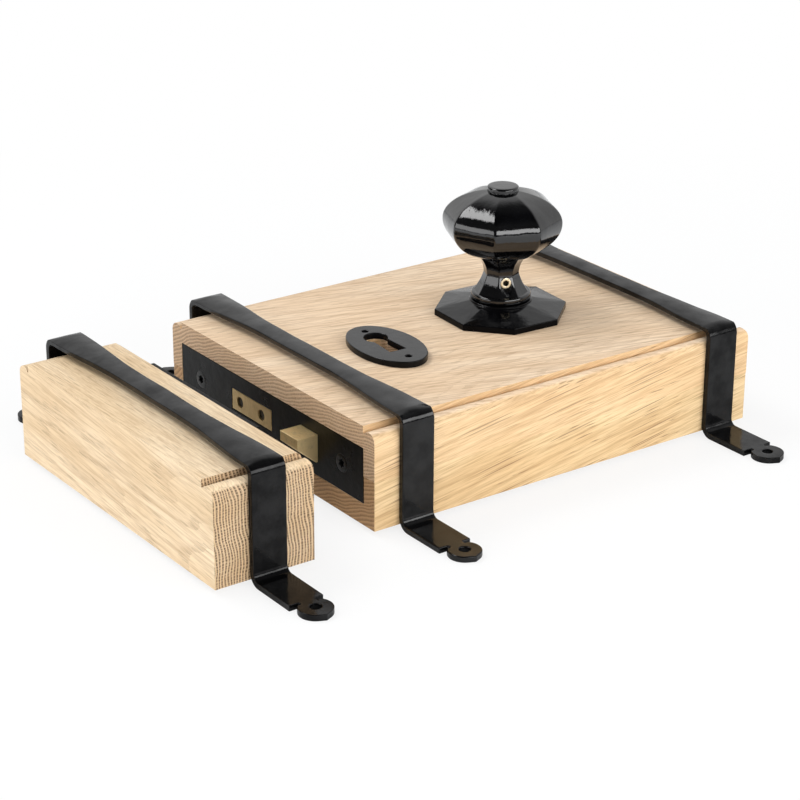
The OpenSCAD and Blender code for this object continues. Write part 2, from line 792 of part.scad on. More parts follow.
module follower() {
    color("#a58a4a") on_lock() translate([knob_backset, axis_y, 0]) difference() {
        union() {
            translate([0, 0, floor_z + slide_gap]) cylinder(h = inner_t - 2 * slide_gap, r = hub_r);
            translate([0, 0, case_z]) cylinder(h = case_t, r = journal_r);
            translate([-horn_w / 2, -horn_r, mid_z - horn_t / 2]) cube([horn_w, 2 * horn_r, horn_t]);
        }
        translate([0, 0, case_z - over]) square_bar(spindle_w + 2 * square_gap, case_t + 2 * over);
    }
}

// The spindle ends half way through the follower, so the other side's spindle can enter
module spindle() {
    color("#9b9fa4") on_lock() translate([knob_backset, axis_y, mid_z])
        square_bar(spindle_w, foot_z + socket_d - 0.3 - mid_z);
}

// Way along which the grub screw runs in, at height z of the knob
module grub_way(r, from, to) {
    translate([0, 0, grub_z]) rotate([0, 0, grub_turn]) translate([from, 0, 0]) rotate([0, 90, 0])
        cylinder(h = to - from, r = r);
}

module knob() {
    color("#141416") on_lock() translate([knob_backset, axis_y, foot_z]) difference() {
        union() {
            intersection_for (i = [0 : 3])
                rotate([0, 0, 22.5 + 45 * i]) rotate([90, 0, 0]) translate([0, 0, -knob_d / 2])
                    linear_extrude(knob_d) polygon(knob_outline);
            cylinder(h = ring_h, r = ring_r);
            translate([0, 0, head_z]) cylinder(h = head_top + button_h, d = button_d);
        }
        translate([0, 0, -over]) square_bar(spindle_w + 2 * square_gap, socket_d + over);
        grub_way(grub_r + rivet_gap, 0, ring_r + over);
    }
}

module knob_grub_screw() {
    color("#b39a5c") on_lock() translate([knob_backset, axis_y, foot_z]) difference() {
        grub_way(grub_r, spindle_w / 2, grub_out);
        translate([0, 0, grub_z]) rotate([0, 0, grub_turn]) translate([grub_out - 2, 0, 0]) rotate([0, 90, 0])
            cylinder(h = 3, r = 1.45, $fn = 6);
    }
}

// Octagonal rose: an upright rim, eight slopes up to a round collar
module knob_rose() {
    rim = corner(rose_d / 2);
    color("#17171a") on_lock() translate([knob_backset, axis_y, box_h]) difference() {
        union() {
            rotate([0, 0, rose_turn]) intersection_for (i = [0 : 3])
                rotate([0, 0, 22.5 + 45 * i]) rotate([90, 0, 0]) translate([0, 0, -rose_d / 2])
                    linear_extrude(rose_d) polygon([
                        [rim, 0], [rim, rose_rim_h], [corner(collar_r), rose_h - collar_h],
                        [-corner(collar_r), rose_h - collar_h], [-rim, rose_rim_h], [-rim, 0]
                    ]);
            translate([0, 0, rose_rim_h]) cylinder(h = rose_h - rose_rim_h, r = collar_r);
        }
        translate([0, 0, -over]) cylinder(h = rose_h + 2 * over, r = rose_hole_r);
    }
}

// Oval plate round the keyhole, with two screw holes that hold no screws
module escutcheon() {
    oval_steps = 72;
    color("#1c1c1e") on_lock() translate([key_backset, axis_y, box_h]) rotate([0, 0, scutcheon_turn])
        difference() {
        translate([0, -scutcheon_drop, 0]) linear_extrude(scutcheon_t)
            polygon([for (i = [0 : oval_steps - 1]) let (a = 360 * i / oval_steps)
                [scutcheon_w / 2 * cos(a), scutcheon_h / 2 * sin(a)]]);
        translate([0, 0, -over]) linear_extrude(scutcheon_t + 2 * over) keyhole_2d();
        for (side = [-1, 1])
            translate([0, -scutcheon_drop + side * scutcheon_span / 2, -over])
                cylinder(h = scutcheon_t + 2 * over, r = scutcheon_hole_r);
    }
}

// Outline of what each bolt needs in the strike plate and the keep, grown by g
module strike_holes(x, d, g) {
    translate([x, bolt_y - bolt_h / 2 - g, mid_z - bolt_t / 2 - g])
        cube([d, bolt_h + bolt_slip + 2 * g, bolt_t + 2 * g]);
    translate([x, latch_y - latch_h / 2 - g, mid_z - latch_t / 2 - g])
        cube([d, latch_h + latch_slip + 2 * g, latch_t + 2 * g]);
}

lip_y = axis_y + lip_shift - lip_len / 2;
strike_top = mid_z + plate_w / 2;

// Oak block with a rounded striking edge, let in for the strike plate and its lip
module keep_block() {
    color("#dcc08f") on_keep() difference() {
        translate([-keep_l, 0, 0]) along_x(keep_l) moulded_section(0);
        translate([0, -over, box_h]) mirror([1, 0, 0]) along_y(box_w + 2 * over) round_corner(edge_r);
        translate([-strike_t, axis_y - plate_len / 2 - plate_gap, mid_z - plate_w / 2 - plate_gap])
            cube([strike_t + over, plate_len + 2 * plate_gap, plate_w + 2 * plate_gap]);
        translate([-strike_t, lip_y - plate_gap, mid_z])
            cube([strike_t + over, lip_len + 2 * plate_gap, box_h]);
        strike_holes(-pocket_d, pocket_d + over, strike_gap + 0.5);
        at_plate_screws(-screw_len) rotate([0, 90, 0]) screw_seat(screw_r, screw_head_r, screw_len);
    }
}

module keep_strap() {
    on_keep() strap(-keep_strap_inset);
}

// Strike plate with a lip that guides the latch over the keep's edge
module strike_plate() {
    color("#1d1d1f") on_keep() difference() {
        union() {
            translate([-strike_t, axis_y - plate_len / 2, mid_z - plate_w / 2])
                cube([strike_t, plate_len, plate_w]);
            translate([-strike_t, lip_y, mid_z]) cube([strike_t, lip_len, box_h - lip_top_gap - mid_z]);
        }
        strike_holes(-strike_t - over, strike_t + 2 * over, strike_gap);
        at_plate_screws(-screw_len) rotate([0, 90, 0]) screw_seat(screw_r, screw_head_r, screw_len);
    }
}

module strike_screws() {
    color("#101012") on_keep()
        at_plate_screws(-screw_len) rotate([0, 90, 0])
            sunk_screw(screw_r, screw_head_r, screw_len, recess_d);
}

back_board();
front_board();
front_strap();
rear_strap();
faceplate();
faceplate_screws();
lock_case();
case_cover();
cover_screws();
lever_post();
lever_1();
lever_2();
lever_3();
lever_4();
lever_5();
lever_springs();
deadbolt();
deadbolt_pins();
latch_bolt();
latch_tail();
latch_spring();
follower();
spindle();
knob();
knob_grub_screw();
knob_rose();
escutcheon();
keep_block();
keep_strap();
strike_plate();
strike_screws();
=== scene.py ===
"""Looks of a rim box lock and its keep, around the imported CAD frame.

Lengths are in metres. They are in millimetres where a name ends in _mm, and in the lists that say so.
"""

import json
import math

import bmesh
import bpy
from mathutils import Matrix, Vector, noise


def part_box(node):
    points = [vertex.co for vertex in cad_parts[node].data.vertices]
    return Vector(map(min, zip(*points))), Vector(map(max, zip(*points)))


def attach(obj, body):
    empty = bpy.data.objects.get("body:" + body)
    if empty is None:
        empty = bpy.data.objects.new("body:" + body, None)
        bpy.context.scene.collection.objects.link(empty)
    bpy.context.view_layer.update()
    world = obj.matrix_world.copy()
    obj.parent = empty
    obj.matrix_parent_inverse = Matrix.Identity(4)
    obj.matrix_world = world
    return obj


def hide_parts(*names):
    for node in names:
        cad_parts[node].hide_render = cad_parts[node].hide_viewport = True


MM = 0.001

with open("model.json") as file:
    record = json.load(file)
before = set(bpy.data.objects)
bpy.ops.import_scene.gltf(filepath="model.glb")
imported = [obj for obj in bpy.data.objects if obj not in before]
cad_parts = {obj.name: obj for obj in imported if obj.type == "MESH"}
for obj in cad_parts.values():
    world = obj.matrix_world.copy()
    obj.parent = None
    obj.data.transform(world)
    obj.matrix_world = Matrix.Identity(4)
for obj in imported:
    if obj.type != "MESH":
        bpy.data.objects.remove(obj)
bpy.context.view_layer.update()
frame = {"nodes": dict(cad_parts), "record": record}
scene = bpy.context.scene
NODES = frame["nodes"]

# Lowest corner of the lock's box on the faceplate's end, and of the keep; sizes shared with the CAD source
CORNER = Vector((-104.75, -81.5, 2.2)) * MM
KEEP_CORNER = CORNER + Vector((-34.0, -6.4, 0.0)) * MM
KNOB_AXIS = CORNER + Vector((127.0, 80.0, 52.5)) * MM
BOX_W = 160 * MM
MID_Z = 22.5 * MM
PLATE_SCREW_FROM_MIDDLE = 56 * MM


# Camera and light

CAMERA_LENS_MM = 108.3
CAMERA_PLACE = Vector((-619.45, -812.8, 439.3)) * MM
# Way the camera looks, about the vertical and downwards, and its lean, in degrees
CAMERA_AZIMUTH, CAMERA_ELEVATION, CAMERA_ROLL = -35.8, 22.9, 0.247
# Place, size and power in watts of each light; all face one point
LIGHTS = {
    "front_box": ((0.33, -1.56, 0.58), (1.8, 0.62), 21),
    "left_box": ((-1.53, 0.27, 0.40), (1.4, 0.55), 7.5),
    "high_box": ((-0.55, 0.71, 1.33), (0.9, 0.5), 10),
}
LIGHT_TARGET = Vector((0.0, 0.0, 0.05))


def make_camera():
    data = bpy.data.cameras.new("camera")
    data.lens = CAMERA_LENS_MM
    data.sensor_width = 36.0
    data.clip_start = 0.01
    data.clip_end = 20.0
    camera = bpy.data.objects.new("camera", data)
    scene.collection.objects.link(camera)
    azimuth, elevation, roll = (math.radians(a) for a in (CAMERA_AZIMUTH, CAMERA_ELEVATION, CAMERA_ROLL))
    level = math.cos(elevation)
    look = Vector((-math.sin(azimuth) * level, math.cos(azimuth) * level, -math.sin(elevation)))
    side = look.cross(Vector((0, 0, 1))).normalized()
    up = side.cross(look)
    right = side * math.cos(roll) + up * math.sin(roll)
    top = up * math.cos(roll) - side * math.sin(roll)
    turn = Matrix((right, top, -look)).transposed().to_4x4()
    camera.matrix_world = Matrix.Translation(CAMERA_PLACE) @ turn
    scene.camera = camera


def area_light(name, place, size, power):
    data = bpy.data.lights.new(name, "AREA")
    data.shape = "RECTANGLE"
    data.size, data.size_y = size
    data.energy = power
    light = bpy.data.objects.new(name, data)
    light.location = place
    light.rotation_euler = (LIGHT_TARGET - light.location).to_track_quat("-Z", "Y").to_euler()
    scene.collection.objects.link(light)


# Shader building

class Shader:
    """A node tree with short calls: add() makes a node, sets its inputs and links those given as sockets."""

    def __init__(self, owner):
        self.owner = owner
        owner.use_nodes = True
        self.tree = owner.node_tree
        self.tree.nodes.clear()

    def add(self, kind, inputs=None, **settings):
        node = self.tree.nodes.new("ShaderNode" + kind)
        for key, value in settings.items():
            setattr(node, key, value)
        for key, value in (inputs or {}).items():
            socket = node.inputs[key]
            if isinstance(value, bpy.types.NodeSocket):
                self.tree.links.new(value, socket)
            else:
                socket.default_value = value
        return node

    def math(self, operation, a, b=0.0, c=0.0):
        return self.add("Math", {0: a, 1: b, 2: c}, operation=operation).outputs[0]

    def plus(self, a, b):
        return self.math("ADD", a, b)

    def minus(self, a, b):
        return self.math("SUBTRACT", a, b)

    def times(self, a, b):
        return self.math("MULTIPLY", a, b)

    def over(self, a, b):
        return self.math("DIVIDE", a, b)

    def size(self, a):
        return self.math("ABSOLUTE", a)

    def mix(self, factor, a, b, blend="MIX"):
        node = self.add("Mix", {0: factor}, data_type="RGBA", blend_type=blend)
        for key, value in ((6, a), (7, b)):
            if isinstance(value, bpy.types.NodeSocket):
                self.tree.links.new(value, node.inputs[key])
            else:
                node.inputs[key].default_value = (*value, 1.0)
        return node.outputs[2]

    def smooth(self, value, low, high, to_low=0.0, to_high=1.0):
        limits = {"From Min": low, "From Max": high, "To Min": to_low, "To Max": to_high}
        return self.add("MapRange", {"Value": value, **limits}, interpolation_type="SMOOTHSTEP").outputs[0]

    def noise(self, vector, scale, detail=2.0, roughness=0.5):
        values = {"Vector": vector, "Scale": scale, "Detail": detail, "Roughness": roughness}
        return self.add("TexNoise", values).outputs["Fac"]

    def vector(self, operation, a, b=None):
        values = {0: a} if b is None else {0: a, 1: tuple(b)}
        return self.add("VectorMath", values, operation=operation).outputs

    def place(self):
        """Object coordinates in millimetres."""
        return self.vector("MULTIPLY", self.add("TexCoord").outputs["Object"], (1000, 1000, 1000))[0]

    def facing(self, axis):
        """How squarely a face is turned along an axis of the object, whichever way round."""
        return self.size(self.dot(self.add("TexCoord").outputs["Normal"], axis))

    def dot(self, vector, axis):
        return self.vector("DOT_PRODUCT", vector, axis)["Value"]

    def combine(self, x, y, z):
        return self.add("CombineXYZ", {0: x, 1: y, 2: z}).outputs[0]

    def bump(self, height, strength, distance):
        values = {"Strength": strength, "Distance": distance, "Height": height}
        return self.add("Bump", values).outputs[0]

    def finish(self, bump, **inputs):
        shader = self.add("BsdfPrincipled", {**inputs, "Normal": bump})
        self.add("OutputMaterial", {"Surface": shader.outputs[0]})
        return self.owner


def material_shader(name):
    return Shader(bpy.data.materials.new(name))


def three_ways(along):
    """A way and two more square to it."""
    first = Vector(along).normalized()
    second = first.orthogonal().normalized()
    return first, second, first.cross(second)


# Oak. Each of these pairs holds the two ends of a soft step, from none to all or from all to none.
SIDE_TURN, END_TURN = (0.5, 0.85), (0.6, 0.85)
EARLY_WOOD = (0.10, 0.50)
PORE_RIM, ROW_RIM, RAY_RIM, GRIT_RIM = (0.24, 0.42), (0.20, 0.36), (0.24, 0.40), (0.30, 0.50)
CLOUD_RIM, STREAK_RIM, FINE_RIM = (0.32, 0.68), (0.42, 0.68), (0.46, 0.68)
# Length along the grain and width across it, in mm, of each kind of mark
SLOW_WANDER_MM, QUICK_WANDER_MM, CLOUD_MM = (150.0, 30.0), (30.0, 3.0), (80.0, 16.0)
FLAT_FINE_MM, SIDE_FINE_MM = (30.0, 0.5), (14.0, 0.45)
FLAT_STREAK_MM, SIDE_STREAK_MM = (60.0, 1.2), (60.0, 1.3)
SIDE_PORE_MM = (42.0, 0.8)
# Share of the cells that hold a pore in late wood, and how much more do in early wood
FLAT_PORES, SIDE_PORES = (0.05, 0.75), (0.20, 0.22)
# Cut ends: size of the grit, how far and how fast the rays wander, where in a ring the pores stand, and how
# ragged their row is
GRIT_MM, RAY_WANDER, RAY_WANDER_MM = 0.55, 2.6, (9.0, 5.0)
ROW_MIDDLE, ROW_BREADTH = 0.3, 0.5
# Quick wander of a ring as a share of its width, change of ring width outwards, and number of rings it moves
RING_JITTER, RING_CHANGE, RING_SHIFT = 0.32, 0.09, 2.0
# Height of the fibres, depth of the pores, and strength and depth of the bump
FIBRE_HEIGHT, PORE_DEPTH, WOOD_BUMP, WOOD_DEPTH = 0.5, 0.8, 0.25, 0.2 * MM


def oak(name, grain, out, side_grain, centre, ring_mm, pale, warm, dark, pore, figure, dash, side_dash, ends,
        end_dots, ray_mm, pore_size=(30.0, 0.5), ray_gap=0.9, wander_mm=8.0, ring_tone=0.22,
        edge_tint=(1.0, 1.0, 1.0), seed=0.0, flat_grain=None):
    """Oak as a solid, with rings about an axis along the grain.

    out is the way from the axis to the board, and centre is the axis's place across the grain in mm.
    side_grain and flat_grain are the ways of the marks in the sides and in the broad faces. figure, dash,
    side_dash, ends and end_dots are the strengths of the streaks, the pores in broad faces and in sides, the
    cut ends' darker tone and their pores.
    """
    s = material_shader(name)
    g = Vector(grain).normalized()
    a = (Vector(out) - g * Vector(out).dot(g)).normalized()
    b = g.cross(a)
    ring_ways = (g, a, b)
    flat_ways = three_ways(flat_grain) if flat_grain else ring_ways
    side_ways = three_ways(side_grain)
    p = s.place()
    across, aside = s.dot(p, a), s.dot(p, b)
    edge = s.smooth(s.facing(b), *SIDE_TURN)
    end_grain = s.smooth(s.facing(g), *END_TURN)
    long_face = s.minus(1.0, end_grain)

    def drawn(ways, size, shift):
        """Place in a pattern that is drawn out along the first of three ways."""
        x, y, z = (s.dot(p, way) for way in ways)
        return s.combine(s.over(x, size[0]), s.over(y, size[1]), s.plus(s.over(z, size[1]), shift))

    def drawn_noise(ways, size, shift, detail=3.0, roughness=0.6):
        return s.noise(drawn(ways, size, seed + shift), 1.0, detail, roughness)

    def flat_noise(x, y):
        return s.noise(s.combine(x, y, seed), 1.0, 2.0)

    # Rings
    wander = s.minus(drawn_noise(ring_ways, SLOW_WANDER_MM, 0.0, 2.0, 0.5), 0.5)
    jitter = s.minus(drawn_noise(ring_ways, QUICK_WANDER_MM, 20.0, 2.0, 0.5), 0.5)
    bent = s.plus(s.times(wander, wander_mm), s.times(jitter, RING_JITTER * ring_mm))
    u = s.minus(s.plus(bent, across), centre[0])
    v = s.minus(aside, centre[1])
    radius = s.math("SQRT", s.plus(s.times(u, u), s.times(v, v)))
    vary = s.noise(s.combine(s.times(radius, RING_CHANGE), seed, 0.0), 1.0, 1.0)
    phase = s.math("FRACT", s.plus(s.over(radius, ring_mm), s.times(vary, RING_SHIFT)))
    early = s.minus(1.0, s.smooth(phase, *EARLY_WOOD))

    def long_pores(ways, size, shares, shift):
        """Long cells; the share of them that holds a pore grows in the early wood."""
        values = {"Vector": drawn(ways, size, shift), "Scale": 1.0, "Randomness": 0.9}
        cell = s.add("TexVoronoi", values, feature="F1").outputs
        dots = s.minus(1.0, s.smooth(cell["Distance"], *PORE_RIM))
        pick = s.add("SeparateColor", {0: cell["Color"]}).outputs[0]
        least, more = shares
        return s.times(dots, s.math("LESS_THAN", pick, s.math("MULTIPLY_ADD", early, more, least)))

    # Pores in the broad faces are fine, those in the sides are longer and clearer
    flat_pores = s.times(long_pores(flat_ways, pore_size, FLAT_PORES, 0.0), dash)
    side_pores = s.times(long_pores(side_ways, SIDE_PORE_MM, SIDE_PORES, 9.0), side_dash)
    pores = s.plus(s.times(flat_pores, s.minus(1.0, edge)), s.times(side_pores, edge))
    pores = s.times(pores, long_face)

    # Pores in a cut end: rows in the early wood, parted by pale rays that run across the rings
    slow = flat_noise(s.over(across, RAY_WANDER_MM[0]), s.over(aside, RAY_WANDER_MM[1]))
    wobble = s.times(s.minus(slow, 0.5), RAY_WANDER)
    ray_phase = s.math("FRACT", s.plus(s.over(aside, ray_mm), wobble))
    ray = s.smooth(s.size(s.minus(ray_phase, 0.5)), *RAY_RIM)
    grit = flat_noise(s.over(across, GRIT_MM), s.over(aside, GRIT_MM))
    breadth = s.times(s.minus(grit, 0.5), ROW_BREADTH)
    row = s.minus(1.0, s.smooth(s.plus(s.size(s.minus(phase, ROW_MIDDLE)), breadth), *ROW_RIM))
    end_pores = s.times(row, s.math("MULTIPLY_ADD", ray, -ray_gap, 1.0))
    end_pores = s.times(s.times(end_pores, s.smooth(grit, *GRIT_RIM)), end_grain)

    # Colour, from the broad marks to the small ones
    fine = s.mix(edge, drawn_noise(flat_ways, FLAT_FINE_MM, 3.0), drawn_noise(side_ways, SIDE_FINE_MM, 3.0))
    flat_streaks = drawn_noise(flat_ways, FLAT_STREAK_MM, 5.0)
    streaks = s.mix(edge, flat_streaks, drawn_noise(side_ways, SIDE_STREAK_MM, 5.0))
    clouds = drawn_noise(ring_ways, CLOUD_MM, 7.0, 2.0, 0.5)
    color = s.mix(s.smooth(clouds, *CLOUD_RIM), pale, warm)
    color = s.mix(s.times(s.smooth(streaks, *STREAK_RIM), figure), color, dark)
    color = s.mix(s.times(s.smooth(fine, *FINE_RIM), figure * 1.1), color, dark)
    color = s.mix(s.times(early, ring_tone * figure), color, dark)
    color = s.mix(edge, color, s.mix(1.0, color, edge_tint, "MULTIPLY"))
    # Cut ends soak up more oil
    lines = s.mix(early, [c * 1.15 for c in dark], [c * 0.75 for c in dark])
    color = s.mix(s.times(end_grain, ends), color, lines)
    color = s.mix(pores, color, pore)
    color = s.mix(s.times(end_pores, end_dots), color, pore)

    height = s.minus(s.times(fine, FIBRE_HEIGHT), s.times(s.plus(pores, end_pores), PORE_DEPTH))
    bump = s.bump(height, WOOD_BUMP, WOOD_DEPTH)
    return s.finish(bump, **{"Base Color": color, "Roughness": 0.6, "Specular IOR Level": 0.3})


# Coats: patterns per mm of the orange peel, of the worn and of the uneven sheen, and the turns between which
# a rim's sheen fades
PEEL_SCALE, WEAR_SCALE, SHEEN_SCALE = 1.6, 0.09, 0.11
RIM_TURN = (0.4, 0.8)
# Height of the orange peel, and strength and depth of the bump
PEEL_HEIGHT, COAT_BUMP, COAT_DEPTH = 0.12, 0.35, 0.6 * MM


def coated(name, color, roughness, lumps_mm, lumps, shine, coat=0.0, uneven=0.0, rim=None):
    """Powder coat or paint with soft lumps and a fine orange peel; rim is the sheen of upright faces."""
    s = material_shader(name)
    p = s.place()
    peel = s.noise(p, PEEL_SCALE, 2.0)
    low = s.noise(p, 1.0 / lumps_mm, 2.0)
    bump = s.bump(s.plus(s.times(peel, PEEL_HEIGHT), s.times(low, lumps)), COAT_BUMP, COAT_DEPTH)
    rough = s.smooth(s.noise(p, WEAR_SCALE, 3.0), 0.3, 0.7, roughness * 0.85, roughness * 1.2)
    tint = s.mix(s.smooth(low, 0.35, 0.7), color, [c * 1.6 for c in color])
    sheen = shine
    if uneven > 0:
        blotches = s.noise(p, SHEEN_SCALE, 3.0, 0.6)
        sheen = s.smooth(blotches, 0.32, 0.68, shine * (1 - uneven), shine * (1 + uneven))
    if rim is not None:
        sheen = s.smooth(s.facing((0, 0, 1)), *RIM_TURN, rim, shine)
    return s.finish(bump, **{"Base Color": tint, "Roughness": rough, "Specular IOR Level": sheen,
                             "Coat Weight": coat, "Coat Roughness": 0.04})


# Metal: brush lines per mm along them and across them, and worn patches per mm
BRUSH_ALONG, BRUSH_ACROSS, PATCH_SCALE = 0.08, 5.0, 0.25


def metal(name, color, roughness, brush=(1, 0, 0), scratch=0.25, socket=None):
    """Bare metal with brush lines and darker worn patches.

    socket is a point in mm, a way and a radius in mm: painted shade darkens what lies within the radius of
    the line that runs that way through the point, as shade fills a screw's recessed socket.
    """
    s = material_shader(name)
    p = s.place()
    along, across, aside = (s.dot(p, way) for way in three_ways(brush))
    y, z = s.times(across, BRUSH_ACROSS), s.times(aside, BRUSH_ACROSS)
    lines = s.noise(s.combine(s.times(along, BRUSH_ALONG), y, z), 1.0, 3.0)
    patch = s.noise(p, PATCH_SCALE, 3.0)
    tint = s.mix(s.times(s.smooth(lines, 0.45, 0.75), 0.5), color, [c * 0.55 for c in color])
    tint = s.mix(s.times(s.smooth(patch, 0.5, 0.75), 0.45), tint, [c * 0.6 for c in color])
    if socket:
        point, way, radius = socket
        beside = s.vector("CROSS_PRODUCT", s.vector("SUBTRACT", p, point)[0], way)[0]
        away = s.vector("LENGTH", beside)["Value"]
        # Painted shade: within the radius, the recessed socket is drawn near black
        tint = s.mix(s.smooth(away, radius * 0.9, radius * 1.05), [c * 0.03 for c in color], tint)
    rough = s.plus(s.smooth(lines, 0.3, 0.7, roughness * 0.8, roughness * 1.25), s.times(patch, 0.08))
    bump = s.bump(lines, scratch, 0.1 * MM)
    return s.finish(bump, **{"Base Color": tint, "Roughness": rough, "Metallic": 1.0})


# Mesh building

# Edges sharper than this many degrees are rounded
ROUND_FROM = 28
# Vertices closer than this are one, and faces that turn by less than this many degrees are one plane
MERGE_WITHIN, PLANE_WITHIN = 2e-6, 0.4
# Faces larger than this are plane, so they keep one normal
FLAT_AREA = 30 * MM * MM
# Pull of large faces on the normals beside them, from 1 to 100
LARGE_FACE_PULL = 70


def put(name, mesh, body, material, node):
    """Makes a piece from a mesh, with its finish, its body and the CAD node it stands for."""
    piece = bpy.data.objects.new(name, mesh)
    scene.collection.objects.link(piece)
    mesh.materials.clear()
    mesh.materials.append(material)
    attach(piece, body)
    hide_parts(node)
    return piece


def smooth_by_weight(piece, angle=40):
    """Smooth shading that follows the large faces; edges sharper than the angle in degrees stay sharp."""
    mesh = piece.data
    if "custom_normal" in mesh.attributes:
        mesh.attributes.remove(mesh.attributes["custom_normal"])
    mesh.shade_smooth()
    mesh.set_sharp_from_angle(angle=math.radians(angle))
    for face in mesh.polygons:
        face.use_smooth = face.area < FLAT_AREA
    weight = piece.modifiers.new("weight", "WEIGHTED_NORMAL")
    weight.keep_sharp = True
    weight.weight = LARGE_FACE_PULL


def rounded_copy(node, width, segments=2, wider=None):
    """Mesh of a CAD node with its sharp edges rounded; wider(edge's middle, edge) may give another width."""
    mesh = NODES[node].data.copy()
    bm = bmesh.new()
    bm.from_mesh(mesh)
    bmesh.ops.remove_doubles(bm, verts=bm.verts, dist=MERGE_WITHIN)
    bmesh.ops.dissolve_limit(bm, angle_limit=math.radians(PLANE_WITHIN), verts=bm.verts, edges=bm.edges)
    groups = {}
    for e in bm.edges:
        if len(e.link_faces) == 2 and e.calc_face_angle(0) > math.radians(ROUND_FROM):
            w = width if wider is None else wider((e.verts[0].co + e.verts[1].co) / 2, e)
            if w > 0:
                groups.setdefault(w, []).append(e)
    for w in sorted(groups, reverse=True):
        edges = [e for e in groups[w] if e.is_valid]
        bmesh.ops.bevel(bm, geom=edges, offset=w, offset_type="OFFSET", segments=segments, profile=0.5,
                        affect="EDGES", clamp_overlap=True)
    bmesh.ops.triangulate(bm, faces=[f for f in bm.faces if len(f.verts) > 4])
    bm.to_mesh(mesh)
    bm.free()
    return mesh


def rounded(node, name, width, body, material, segments=2, wider=None):
    smooth_by_weight(put(name, rounded_copy(node, width, segments, wider), body, material, node))


# Straps: rounding of the bar, fall of its upper face at the edges, depth of its dents, distance of the cuts
STRAP_ROUND, STRAP_CROWN_MM, STRAP_DENTS_MM, STRAP_STEP = 0.7 * MM, 0.8, 0.5, 4 * MM
# Parts into which the cuts divide half a strap's width
STRAP_CUTS = 5
# Size of the dents in mm along x, y and z
DENT_MM = (11, 17, 17)
# Depth below the top at which the upper face begins to move, and over which it comes to move in full
UPPER_FROM, UPPER_OVER = 1.2 * MM, 1.1 * MM


def hammer(mesh):
    """Cuts a strap's mesh finer, rounds its upper face a little and dents it; nothing moves outwards."""
    bm = bmesh.new()
    bm.from_mesh(mesh)
    xs, ys, zs = [[v.co[k] for v in bm.verts] for k in range(3)]
    middle, half, top = (min(xs) + max(xs)) / 2, (max(xs) - min(xs)) / 2, max(zs)
    cuts = range(1 - STRAP_CUTS, STRAP_CUTS)
    planes = [(Vector((middle + half * k / STRAP_CUTS, 0, 0)), Vector((1, 0, 0))) for k in cuts]
    count = int((max(ys) - min(ys)) / STRAP_STEP)
    planes += [(Vector((0, min(ys) + (k + 0.5) * STRAP_STEP, 0)), Vector((0, 1, 0))) for k in range(count)]
    count = int((top - min(zs)) / STRAP_STEP)
    planes += [(Vector((0, 0, min(zs) + (k + 0.5) * STRAP_STEP)), Vector((0, 0, 1))) for k in range(1, count)]
    for at, way in planes:
        everything = bm.verts[:] + bm.edges[:] + bm.faces[:]
        bmesh.ops.bisect_plane(bm, geom=everything, dist=1e-6, plane_co=at, plane_no=way)
    bm.normal_update()
    for v in bm.verts:
        spot = v.co / MM
        part = min(1.0, max(0.0, (v.co.z - top + UPPER_FROM) / UPPER_OVER))
        across = (v.co.x - middle) / half
        wave = 0.5 + 0.5 * noise.noise(Vector([c / size for c, size in zip(spot, DENT_MM)]))
        v.co.z -= part * (STRAP_CROWN_MM * across * across + STRAP_DENTS_MM * wave) * MM
    bm.to_mesh(mesh)
    bm.free()


def strap_bar(node, name, body, coat):
    mesh = rounded_copy(node, STRAP_ROUND, 3)
    hammer(mesh)
    smooth_by_weight(put(name, mesh, body, coat, node), 50)


def ring_mesh(name, rings):
    """Closed mesh through rings of equally many points in mm, from the first ring to the last."""
    n = len(rings[0])
    verts = [tuple(p * MM) for ring in rings for p in ring]
    faces = [[i * n + k, i * n + (k + 1) % n, (i + 1) * n + (k + 1) % n, (i + 1) * n + k]
             for i in range(len(rings) - 1) for k in range(n)]
    faces.append(list(range(n))[::-1])
    faces.append([(len(rings) - 1) * n + k for k in range(n)])
    mesh = bpy.data.meshes.new(name)
    mesh.from_pydata(verts, [], faces)
    mesh.validate()
    return mesh


def joined(name, meshes):
    """One mesh out of several."""
    bm = bmesh.new()
    for m in meshes:
        bm.from_mesh(m)
    bmesh.ops.recalc_face_normals(bm, faces=bm.faces)
    mesh = bpy.data.meshes.new(name)
    bm.to_mesh(mesh)
    bm.free()
    return mesh


def round_ring(radius, z, n):
    turns = [2 * math.pi * k / n for k in range(n)]
    return [Vector((radius * math.cos(a), radius * math.sin(a), z)) for a in turns]


def turned_mesh(name, steps, n):
    """Closed mesh turned from pairs of radius and height in mm."""
    return ring_mesh(name, [round_ring(r, z, n) for r, z in steps])


def octagon_ring(radius, z, corner, arc=5, flat=7):
    """Octagon with rounded corners and points along its sides; radius reaches the corner before rounding."""
    points = []
    centre = radius - corner / math.cos(math.pi / 8)

    def on_corner(k, i):
        turn = k * math.pi / 4
        at = turn + (i / arc - 0.5) * math.pi / 4
        x = centre * math.cos(turn) + corner * math.cos(at)
        y = centre * math.sin(turn) + corner * math.sin(at)
        return Vector((x, y, z))

    for k in range(8):
        points += [on_corner(k, i) for i in range(arc + 1)]
        points += [on_corner(k, arc).lerp(on_corner(k + 1, 0), (i + 1) / (flat + 1)) for i in range(flat)]
    return points


# Knob: the same profile as the solid, with softened ridges. All its sizes are in mm.

# Head: radius to its corners, height of its widest place, and its half heights above and below that
KNOB_R, HEAD_Z, UP, DOWN = 27.6, 36.5, 14.7, 17.5
# Waist's radius and height, radius at the flare's foot and where the neck meets the head
WAIST_R, WAIST_Z, FLARE_R, NECK_R = 8.2, 12.0, 12.9, 12.0
# Button's radius, height of the round foot, and how deep the flare is sunk in it
BUTTON_R, RING_H, FLARE_SINK = 7.2, 3.2, 0.3
# Steps of the profile along the flare, the neck and the head
FLARE_STEPS, NECK_STEPS, HEAD_STEPS = 14, 10, 48
